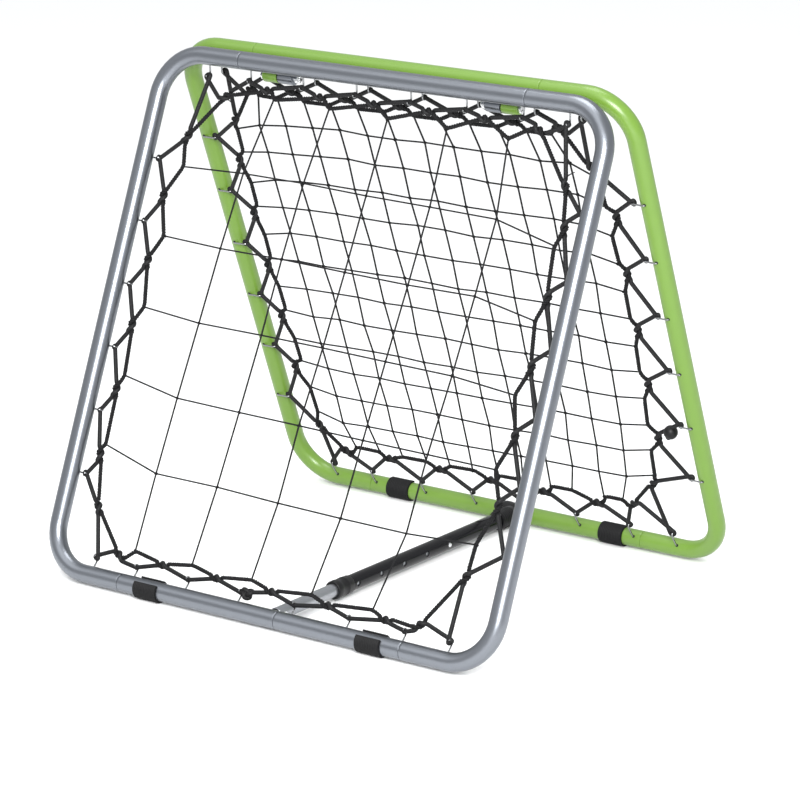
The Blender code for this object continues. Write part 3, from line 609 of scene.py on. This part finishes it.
# Where the elastic turns round the border, each after the hook that it has just left.
FRONT_TURNS = [
    *between((-0.368, 0.183), (-0.362, 0.592), 5),
    Vector((-0.342, 0.690)),
    Vector((-0.287, 0.759)),
    *between((-0.213, 0.777), (0.187, 0.779), 5),
    *between((0.285, 0.773), (0.350, 0.697), 2),
    *between((0.363, 0.637), (0.358, 0.230), 5),
    Vector((0.331, 0.122)),
    Vector((0.272, 0.041)),
    *between((0.213, 0.037), (-0.203, 0.040), 5),
    *between((-0.288, 0.040), (-0.348, 0.104), 2),
]
REAR_TURNS = [
    *between((-0.350, 0.623), (-0.355, 0.225), 5),
    Vector((-0.337, 0.110)),
    Vector((-0.294, 0.067)),
    *between((-0.205, 0.070), (0.197, 0.067), 5),
    *between((0.266, 0.080), (0.312, 0.129), 2),
    *between((0.340, 0.220), (0.351, 0.622), 5),
    *between((0.326, 0.705), (0.286, 0.765), 2),
    *between((0.203, 0.768), (-0.203, 0.767), 5),
    *between((-0.290, 0.760), (-0.336, 0.700), 2),
]


def net_points(side):
    """Crossings by column and row, and the four rows of places where the net is tied on."""
    if side < 0:
        count = 5
        crossings = [
            [
                Vector((-0.222 + 0.117 * i - 0.0078 * j, 0.6465 - 0.1183 * j - 0.0022 * i))
                for j in range(count)
            ]
            for i in range(count)
        ]
        top = between((-0.199, 0.764), (0.235, 0.755), count)
        bottom = between((-0.258, 0.051), (0.188, 0.047), count)
        left = between((-0.337, 0.643), (-0.362, 0.197), count)
        right = between((0.353, 0.610), (0.335, 0.172), count)
        return crossings, top, bottom, left, right
    count = 12
    crossings = [
        [
            Vector((-0.288 + 0.0525 * i + 0.0004 * j * (5.5 - i) / 5.5, 0.707 - 0.0526 * j))
            - Vector((0, 0.009)) * max(0, 1 - i / 2) * max(0, 1 - j / 4)
            - Vector((0.022, -0.004)) * (i / 11) * (j / 11) ** 3
            for j in range(count)
        ]
        for i in range(count)
    ]
    top = between((-0.290, 0.752), (0.275, 0.756), count)
    bottom = between((-0.272, 0.079), (0.247, 0.083), count)
    left = between((-0.337, 0.683), (-0.333, 0.140), count)
    right = between((0.334, 0.688), (0.318, 0.146), count)
    for number in range(count):
        sag = math.sin(math.pi * number / (count - 1))
        left[number].x -= 0.007 * sag
        right[number].x += 0.010 * sag
    return crossings, top, bottom, left, right


def rope_strand(line, offset, pitch, start):
    """One strand's line, wound round the middle of a closed rope."""
    frames = frames_along(line, closed=True)
    whole = frames[-1][3] + (line[0] - line[-1]).length
    twist = math.tau * round(whole / pitch) / whole
    made = []
    for place, along, across, distance in frames:
        turn = start + twist * distance
        other = along.cross(across)
        made.append(place + (across * math.cos(turn) + other * math.sin(turn)) * offset)
    return made


def woven(name, colour, roughness, along, round_it, depth, sheen):
    """Braided yarns that cross both ways round a cord, from its UV map. Its colour is painted shade in
    the grooves between yarns and painted highlight on their crowns, with a fine random tone over it.
    """
    made = bpy.data.materials.new(name)
    made.use_nodes = True
    nodes, links = made.node_tree.nodes, made.node_tree.links
    shader = nodes["Principled BSDF"]
    shader.inputs["Sheen Weight"].default_value = sheen
    shader.inputs["Sheen Roughness"].default_value = 0.5
    shader.inputs["Specular IOR Level"].default_value = 0.16
    place = nodes.new("ShaderNodeTexCoord")
    yarns = []
    for way in (1, -1):
        slant = nodes.new("ShaderNodeMapping")
        slant.inputs["Scale"].default_value = (along, way * round_it, 1)
        links.new(place.outputs["UV"], slant.inputs["Vector"])
        wave = nodes.new("ShaderNodeTexWave")
        wave.wave_type = "BANDS"
        wave.bands_direction = "DIAGONAL"
        wave.inputs["Scale"].default_value = 1.0
        wave.inputs["Distortion"].default_value = 0.0
        links.new(slant.outputs["Vector"], wave.inputs["Vector"])
        yarns.append(wave)
    over = nodes.new("ShaderNodeMath")
    over.operation = "MAXIMUM"
    links.new(yarns[0].outputs["Fac"], over.inputs[0])
    links.new(yarns[1].outputs["Fac"], over.inputs[1])
    fuzz = nodes.new("ShaderNodeTexNoise")
    fuzz.inputs["Scale"].default_value = 1800.0
    fuzz.inputs["Detail"].default_value = 4.0
    links.new(place.outputs["Object"], fuzz.inputs["Vector"])
    height = nodes.new("ShaderNodeMath")
    height.operation = "MULTIPLY_ADD"
    height.inputs[1].default_value = 0.6
    links.new(fuzz.outputs["Fac"], height.inputs[0])
    links.new(over.outputs["Value"], height.inputs[2])
    # Painted shade and painted highlight: the colour is dark in the grooves between yarns and light on
    # their crowns, and the random fuzz adds real tone.
    tint = nodes.new("ShaderNodeMix")
    tint.data_type = "RGBA"
    tint.inputs["A"].default_value = (*(part * 0.45 for part in colour), 1)
    tint.inputs["B"].default_value = (*(part * 1.5 for part in colour), 1)
    links.new(height.outputs["Value"], tint.inputs["Factor"])
    links.new(tint.outputs["Result"], shader.inputs["Base Color"])
    gloss = nodes.new("ShaderNodeMapRange")
    gloss.inputs["To Min"].default_value = min(1.0, roughness * 1.15)
    gloss.inputs["To Max"].default_value = roughness * 0.85
    links.new(over.outputs["Value"], gloss.inputs["Value"])
    links.new(gloss.outputs["Result"], shader.inputs["Roughness"])
    bump = nodes.new("ShaderNodeBump")
    bump.inputs["Strength"].default_value = 0.8
    bump.inputs["Distance"].default_value = depth
    links.new(height.outputs["Value"], bump.inputs["Height"])
    links.new(bump.outputs["Normal"], shader.inputs["Normal"])
    return made


elastic = woven("black braided elastic", (0.007, 0.007, 0.0075), 0.6, 120, 2.0, 1.0e-4, 0.0)
border_yarn = woven("black twisted border cord", (0.006, 0.006, 0.0065), 0.85, 260, 1.0, 3e-4, 0.0)
net_yarn = woven("black net cord", (0.006, 0.006, 0.0065), 0.80, 420, 1.0, 1e-4, 0.0)


def border_ring(turns, tied):
    """The border's places in order round the frame; each one says whether the elastic turns there."""
    middle = sum(turns, Vector((0, 0))) / len(turns)
    marked = [(place, True) for place in turns] + [(place, False) for place in tied]
    return sorted(marked, key=lambda item: math.atan2(item[0].y - middle.y, item[0].x - middle.x))


def hook_bend(side, cord, before, after):
    """The elastic's bend round a hook, from the leg before it to the leg after it."""
    here = Vector(cord)
    one, other = (before - here).normalized(), (after - here).normalized()
    inward = (one + other).normalized()
    half = (math.pi - one.angle(other)) / 2
    centre = here + inward * CURL
    spun = 1 if one.x * other.y - one.y * other.x > 0 else -1
    for share in (-1, -0.5, 0, 0.5, 1):
        turn = spun * half * share
        out = -inward
        u = out.x * math.cos(turn) - out.y * math.sin(turn)
        v = out.x * math.sin(turn) + out.y * math.cos(turn)
        yield on_frame(side, centre.x + u * CURL, centre.y + v * CURL, NET_DEPTH)


def turn_together(side, place, along, out):
    """The elastic's line and the border's, each taking one turn round the other."""
    lines = ([], [])
    for cut in range(TURN_STEPS + 1):
        turn = math.tau * cut / TURN_STEPS
        middle = place + along * (cut / TURN_STEPS - 0.5) * TURN_LENGTH
        for line, off in zip(lines, (BORDER_RADIUS, -ELASTIC_RADIUS)):
            spot = middle + out * off * math.cos(turn)
            line.append(on_frame(side, *spot, NET_DEPTH - off * math.sin(turn)))
    return lines


NETS = {-1: FRONT_TURNS, 1: REAR_TURNS}
for side in (-1, 1):
    crossings, top, bottom, left, right = net_points(side)
    turns = NETS[side]
    hooks = [Vector(cord) for _, cord in hook_places(side)]
    if side > 0:  # the rear frame is laced the other way round, down its left side first
        hooks = hooks[5::-1] + hooks[:5:-1]
    for tied, axis in ((top, 0), (bottom, 0), (left, 1), (right, 1)):
        for place, turn in product(tied, turns):
            gap = place[axis] - turn[axis]
            if abs(gap) < CLEAR_OF_TURN and (place - turn).length < 2 * CLEAR_OF_TURN:
                place[axis] = turn[axis] + math.copysign(CLEAR_OF_TURN, gap)
    ring = border_ring(turns, [*top, *bottom, *left, *right])
    places = [place for place, _ in ring]
    middle = Vector((0, FRAME_HEIGHT[side] / 2))
    chance = random.Random(4 + side)
    rope, wraps = [], {}
    for number, (place, is_turn) in enumerate(ring):
        before, after = places[number - 1], places[(number + 1) % len(places)]
        along = (after - before).normalized()
        if not is_turn:
            rope.append(on_frame(side, *place, NET_DEPTH + chance.uniform(-0.0012, 0.0012)))
            continue
        met = turns.index(place)
        way = 1 if along.dot(hooks[(met + 1) % len(hooks)] - hooks[met]) > 0 else -1
        out = Vector((along.y, -along.x))
        out = out if out.dot(place - middle) > 0 else -out
        stretch, border = turn_together(side, place, along * way, out)
        wraps[met] = stretch
        rope += border[::way]
    bm = bmesh.new()
    rope = taut(rope, 0.006, closed=True, spacing=0.0021)
    for start in (0.0, math.tau / 3, 2 * math.tau / 3):
        strand = rope_strand(rope, BORDER_RADIUS * 0.56, STRAND_PITCH, start)
        add_cord(bm, strand, BORDER_RADIUS * 0.5, 6, closed=True)
    tail_from = TAIL_START[side]
    tail_to = tail_from + TAIL_REACH[side]
    tail = [
        on_frame(side, *tail_from, NET_DEPTH),
        on_frame(side, *tail_from.lerp(tail_to, 0.5), NET_DEPTH - 0.007),
        on_frame(side, *tail_to, NET_DEPTH - 0.004),
    ]
    add_cord(bm, rounded(tail, 0.002), TAIL_RADIUS, 6, taper=lambda share: 1.0 - 0.6 * share)
    name = NAME[side]
    finished(
        f"{name}_border_rope", bm, border_yarn, BODY[side], "border_cord", [f"{name}_net_border"], 80
    )

    bm = bmesh.new()
    count = len(crossings)
    knots = []
    columns = [[top[i], *crossings[i], bottom[i]] for i in range(count)]
    rows = [[left[j], *(crossings[i][j] for i in range(count)), right[j]] for j in range(count)]
    settled = {}
    chance = random.Random(20 + side)
    for places in columns + rows:
        line = []
        for place in places:
            key = (round(place.x, 5), round(place.y, 5))
            if key not in settled:
                drift = [chance.uniform(-0.0016, 0.0016) for _ in range(3)]
                u, v = place.x + drift[0], place.y + drift[1]
                settled[key] = on_frame(side, u, v, NET_DEPTH + drift[2])
            line.append(settled[key])
        add_cord(bm, taut(line, 0.003), NET_CORD_RADIUS[side], 6)
    for knot in settled.values():
        size = KNOT_RADIUS * chance.uniform(0.85, 1.1)
        spin = Matrix.Rotation(chance.uniform(0, math.pi), 4, "X") @ Matrix.Rotation(0.7, 4, "Y")
        bmesh.ops.create_icosphere(
            bm,
            subdivisions=1,
            radius=size,
            matrix=Matrix.Translation(knot) @ spin @ Matrix.Diagonal((1.25, 0.9, 0.85, 1)),
        )
    finished(f"{name}_net_knotted", bm, net_yarn, BODY[side], "net_cord", [f"{name}_net"], 80)

    route = []
    for number, hook in enumerate(hooks):
        route += hook_bend(side, hook, turns[number - 1], turns[number])
        route += wraps[number]
    bm = bmesh.new()
    add_cord(bm, taut(route, 0.0035, closed=True), ELASTIC_RADIUS, 12, closed=True)
    finished(f"{name}_elastic_cord", bm, elastic, BODY[side], "elastic_cord", [f"{name}_bungee"], 80)

# Where the elastic's two ends join: an overhand knot in front, a round toggle behind.
low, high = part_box("front_bungee_knot")
centre = (low + high) / 2
bm = bmesh.new()
across, up, deep = way_on_frame(-1, 1, 0), way_on_frame(-1, 0, 1), way_on_frame(-1, 0, 0, 1)
loop = []
for cut in range(36):
    turn = math.tau * cut / 36
    u = math.sin(turn) + 2 * math.sin(2 * turn)
    v = math.cos(turn) - 2 * math.cos(2 * turn)
    loop.append(centre + (across * u * 0.0031 + up * v * 0.0025 - deep * math.sin(3 * turn) * 0.0030))
add_cord(bm, loop, ELASTIC_RADIUS, 12, closed=True)
finished(
    "front_elastic_knot", bm, elastic, "front_frame", "elastic_cord", ["front_bungee_knot"], 80
)

plastic = surface("black moulded plastic", (0.006, 0.006, 0.0065), 0.42, grain=1100, depth=4e-5)
adjust(plastic, "Specular IOR Level", 0.22)
# The toggle is halfway from the right side's lowest hook to the second turn up that side.
TOGGLE_HOOK = 19
TOGGLE_TURN = 15
hook = Vector(hook_places(1)[TOGGLE_HOOK][1])
centre = on_frame(1, *hook.lerp(REAR_TURNS[TOGGLE_TURN], 0.5), NET_DEPTH)
bm = bmesh.new()
bmesh.ops.create_uvsphere(
    bm, u_segments=32, v_segments=20, radius=0.0112, matrix=Matrix.Translation(centre)
)
lump = centre + way_on_frame(1, -0.006, -0.0105)
bmesh.ops.create_uvsphere(
    bm, u_segments=20, v_segments=12, radius=0.0046, matrix=Matrix.Translation(lump)
)
finished("rear_elastic_toggle", bm, plastic, "rear_frame", "black_plastic", ["rear_bungee_toggle"])

# Strut
# A steel tube pinned to the front rail slides inside a black painted one that clips to the rear rail.
# A sprung button holds one of five lengths. A moulded collar closes the mouth of the outer tube.

HOLE_PITCH = 0.060
HOLE_COUNT = 5
HOLE_RADIUS = 0.0043
BUTTON_FROM_REAR = 0.2045
OUTER_WALL = 0.0012
INNER_WALL = 0.0015
PLAY = 0.0009  # between the inner tube and the collar's lip
SNUG = 0.0003  # between the outer tube and what is moulded on it
LATHE_STEPS = 48

pin_low, pin_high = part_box("strut_front_pin")
front_end = Vector((0, (pin_low.y + pin_high.y) / 2, (pin_low.z + pin_high.z) / 2))
rear_end = on_frame(1, 0, 0)
low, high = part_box("strut_outer_tube")
STRUT_X = (low.x + high.x) / 2
STRUT_RADIUS = (high.x - low.x) / 2
front_end.x = rear_end.x = STRUT_X
strut_way = (rear_end - front_end).normalized()
strut_up = (Vector((0, 0, 1)) - strut_way * strut_way.z).normalized()


def along_strut(y):
    """The place on the strut's line at this distance back in the rest pose."""
    return front_end + strut_way * ((y - front_end.y) / strut_way.y)


def cut_holes(piece, places, radius, reach):
    """Drills across the strut from its right side, then bakes the result into the mesh."""
    for number, y in enumerate(places):
        bm = bmesh.new()
        bmesh.ops.create_cone(
            bm,
            cap_ends=True,
            segments=24,
            radius1=radius,
            radius2=radius,
            depth=reach,
            matrix=Matrix.Translation(along_strut(y) + sideways * reach / 2)
            @ Matrix.Rotation(math.pi / 2, 4, "Y"),
        )
        mesh = bpy.data.meshes.new("drill")
        bm.to_mesh(mesh)
        bm.free()
        drill = bpy.data.objects.new("drill", mesh)
        bpy.context.scene.collection.objects.link(drill)
        cut = piece.modifiers.new(f"hole {number + 1}", "BOOLEAN")
        cut.operation, cut.solver, cut.object = "DIFFERENCE", "EXACT", drill
        bpy.context.view_layer.update()
        graph = bpy.context.evaluated_depsgraph_get()
        made = bpy.data.meshes.new_from_object(piece.evaluated_get(graph))
        piece.modifiers.clear()
        piece.data = made
        bpy.data.objects.remove(drill, do_unlink=True)
    piece.data.shade_smooth()
    piece.data.set_sharp_from_angle(angle=math.radians(40))


black_paint = surface("gloss black paint", (0.004, 0.004, 0.005), 0.14, grain=700, depth=1e-5)
adjust(black_paint, "Specular IOR Level", 0.2)

length = (high.y - low.y) / strut_way.y
bevel = 0.0003
profile = (
    (0, STRUT_RADIUS - OUTER_WALL),
    (length, STRUT_RADIUS - OUTER_WALL),
    (length, STRUT_RADIUS - bevel),
    (length - bevel, STRUT_RADIUS),
    (bevel, STRUT_RADIUS),
    (0, STRUT_RADIUS - bevel),
)
bm = bmesh.new()
turned(bm, profile, along_strut(low.y), strut_way, strut_up, LATHE_STEPS)
outer = finished(
    "strut_outer_tube_painted", bm, black_paint, "strut_outer", "black_paint", ["strut_outer_tube"]
)
button_y = rear_end.y - BUTTON_FROM_REAR * strut_way.y
holes = [button_y - HOLE_PITCH * strut_way.y * number for number in range(HOLE_COUNT)]
cut_holes(outer, holes, HOLE_RADIUS, 0.03)

low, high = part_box("strut_inner_tube")
radius = (high.x - low.x) / 2
length = (high.y - low.y) / strut_way.y
profile = (
    (0, radius - INNER_WALL),
    (length, radius - INNER_WALL),
    (length, radius),
    (bevel, radius),
    (0, radius - bevel),
)
bm = bmesh.new()
turned(bm, profile, along_strut(low.y), strut_way, strut_up, LATHE_STEPS)
inner_steel = surface("grey painted steel", (0.30, 0.31, 0.33), 0.3, 0.85, grain=1400, depth=2e-5)
inner = finished(
    "strut_inner_tube_steel", bm, inner_steel, "strut_inner", "silver_paint", ["strut_inner_tube"]
)
cut_holes(inner, [button_y], HOLE_RADIUS, 0.03)

low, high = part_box("strut_collar")
length = (high.y - low.y) / strut_way.y
lip, grip = radius + PLAY, STRUT_RADIUS + SNUG
profile = [
    (0, lip),
    (0.0027, lip),
    (0.0027, grip),
    (length, grip),
    (length, 0.0134),
    (length - 0.0008, 0.0138),
    (length * 0.74, 0.0140),
    (length * 0.70, 0.0144),
    (length * 0.62, 0.0144),
    (length * 0.60, 0.0140),
    (length * 0.30, 0.0141),
    (length * 0.28, 0.0145),
    (0.0018, 0.0145),
    (0.0006, 0.0140),
    (0, 0.0132),
]
bm = bmesh.new()
turned(bm, profile, along_strut(low.y), strut_way, strut_up, LATHE_STEPS)
finished("strut_collar_moulded", bm, plastic, "strut_outer", "black_plastic", ["strut_collar"])

# Rear clip: a moulded C round the rear rail, which it turns on, and a ribbed socket for the tube.
low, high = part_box("strut_rear_clip")
clip_bore, clip_outer = TUBE_RADIUS + 0.0006, 0.0166
half = (high.x - low.x) / 2
profile = ribbed_outline(-half, half, clip_bore, clip_outer, 3)
opening = math.radians(95)
bm = bmesh.new()
centre = Vector(((low.x + high.x) / 2, rear_end.y, rear_end.z))
start = Matrix.Rotation(-(math.pi / 2 - opening / 2), 3, "X") @ Vector((0, 0, 1))
clip_round(bm, profile, centre, sideways, start, math.tau - opening, 40)
socket_start = (rear_end.y - 0.0145 - low.y) / strut_way.y
section = [(0.0, grip), (socket_start, grip)]
section += [(socket_start, 0.0150)]
ribs = 7
pitch = (socket_start - 0.010) / ribs
for number in reversed(range(ribs)):
    at = 0.001 + number * pitch
    section += [(at + pitch * 0.85, 0.0160), (at + pitch * 0.4, 0.0160), (at + pitch * 0.2, 0.0153)]
section += [(0.0, 0.0150)]
turned(bm, section, along_strut(low.y), strut_way, strut_up, LATHE_STEPS)
finished("strut_rear_clip_moulded", bm, plastic, "strut_outer", "black_plastic", ["strut_rear_clip"])

for node, material, slot in (
    ("strut_front_tongue", silver, "silver_paint"),
    ("strut_front_pin", zinc, "zinc_plate"),
    ("strut_front_pin_clip", zinc, "zinc_plate"),
    ("strut_snap_button", zinc, "zinc_plate"),
    ("hinge_left_washer", plastic, "black_plastic"),
    ("hinge_right_washer", plastic, "black_plastic"),
):
    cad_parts[node].data.materials.clear()
    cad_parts[node].data.materials.append(material)

# Studio
# A pale floor that runs on as the background, soft boxes overhead and beside the camera.

bm = bmesh.new()
bmesh.ops.create_circle(bm, cap_ends=True, segments=96, radius=60.0)
mesh = bpy.data.meshes.new("studio_floor")
bm.to_mesh(mesh)
bm.free()
floor = bpy.data.objects.new("studio_floor", mesh)
floor.location.z = cad_box[0][2] - 0.0005
bpy.context.scene.collection.objects.link(floor)
paper = bpy.data.materials.new("studio paper")
paper.use_nodes = True
adjust(paper, "Base Color", (0.92, 0.92, 0.92, 1))
adjust(paper, "Roughness", 0.9)
adjust(paper, "Specular IOR Level", 0.1)
mesh.materials.append(paper)
floor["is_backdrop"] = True

azimuth, elevation, roll = (math.radians(turn) for turn in (35.588, 15.363, 0.2347))
back = Vector(
    (
        math.sin(azimuth) * math.cos(elevation),
        -math.cos(azimuth) * math.cos(elevation),
        math.sin(elevation),
    )
)
level = Vector((math.cos(azimuth), math.sin(azimuth), 0))
upright = back.cross(level)
right_way = level * math.cos(roll) + upright * math.sin(roll)
up_way = upright * math.cos(roll) - level * math.sin(roll)
target = Vector((0.0212, 0, 0.2781))
lens = bpy.data.cameras.new("camera")
lens.lens, lens.sensor_width = 158.17, 36.0
lens.clip_end = 200
camera = bpy.data.objects.new("camera", lens)
bpy.context.scene.collection.objects.link(camera)
camera.matrix_world = Matrix.Translation(target + back * 5.3517) @ Matrix(
    (right_way, up_way, back)
).transposed().to_4x4()
bpy.context.scene.camera = camera


def soft_box(name, place, size, power):
    light = bpy.data.lights.new(name, "AREA")
    light.shape, light.size, light.energy = "SQUARE", size, power
    lamp = bpy.data.objects.new(name, light)
    lamp.location = place
    lamp.rotation_euler = (Vector(place) - target).to_track_quat("Z", "Y").to_euler()
    bpy.context.scene.collection.objects.link(lamp)


soft_box("box over the camera", target + Vector((2.0, -2.9, 1.9)), 1.7, 230)
soft_box("box overhead", target + Vector((-0.3, 0.2, 3.2)), 1.6, 40)

sun = bpy.data.lights.new("window", "SUN")
sun.energy, sun.angle = 0.75, math.radians(50)
lamp = bpy.data.objects.new("window", sun)
lamp.rotation_euler = (math.radians(28), math.radians(-18), 0)
bpy.context.scene.collection.objects.link(lamp)

world = bpy.data.worlds.new("studio")
world.use_nodes = True
world.node_tree.nodes["Background"].inputs["Color"].default_value = (0.97, 0.985, 1.0, 1)
world.node_tree.nodes["Background"].inputs["Strength"].default_value = 0.82
bpy.context.scene.world = world
bpy.context.scene.view_settings.view_transform = "Standard"

boxes = {"cad": cad_box, "visual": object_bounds()}
{name: [list(corner) for corner in box] for name, box in boxes.items()}
